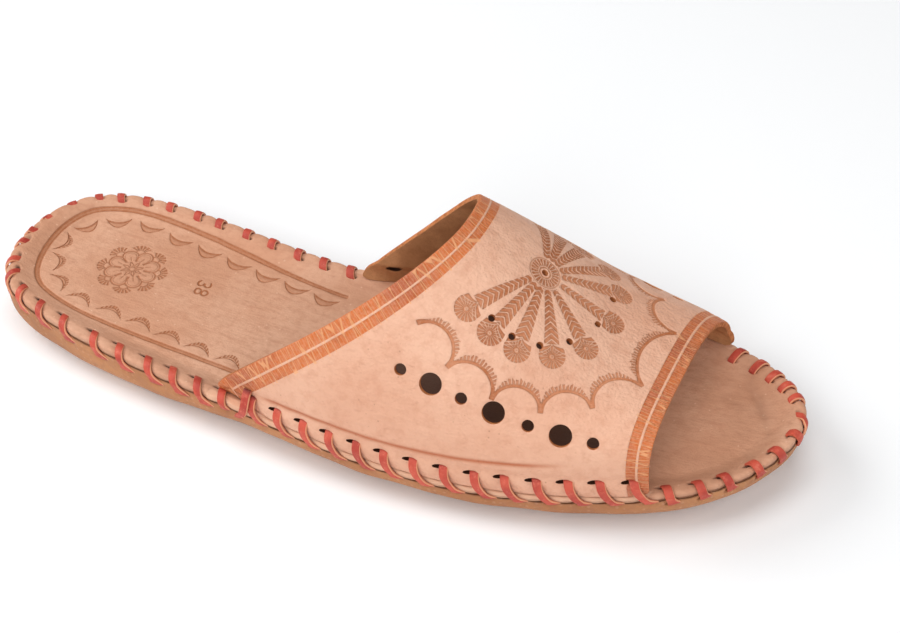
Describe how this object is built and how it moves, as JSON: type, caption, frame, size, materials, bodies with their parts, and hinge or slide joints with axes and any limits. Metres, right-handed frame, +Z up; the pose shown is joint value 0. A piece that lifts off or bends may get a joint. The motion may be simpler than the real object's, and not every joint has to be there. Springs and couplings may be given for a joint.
{
  "type": "slipper",
  "caption": "Open-toe leather mule slipper, right foot: arched punched upper laced round the rim to an insole and a soft padded sole.",
  "frame": {"origin": "on the floor under the middle of the sole's outline", "axes": "+X towards the toe, +Y towards the inner side of the foot, +Z up"},
  "size_m": [0.2563, 0.0938, 0.0707],
  "materials": {
    "sole_leather": "plain tan leather, matt, lightly wrinkled",
    "insole_leather": "tan leather with stamped ornament, matt",
    "upper_leather": "pale tan leather with stamped ornament and orange-brown edge bands, satin",
    "lace_leather": "red dyed leather strip with raw edges"
  },
  "bodies": {
    "root": {"sole": "sole_leather", "insole": "insole_leather", "upper": "upper_leather", "lacing": "lace_leather"}
  },
  "joints": []
}
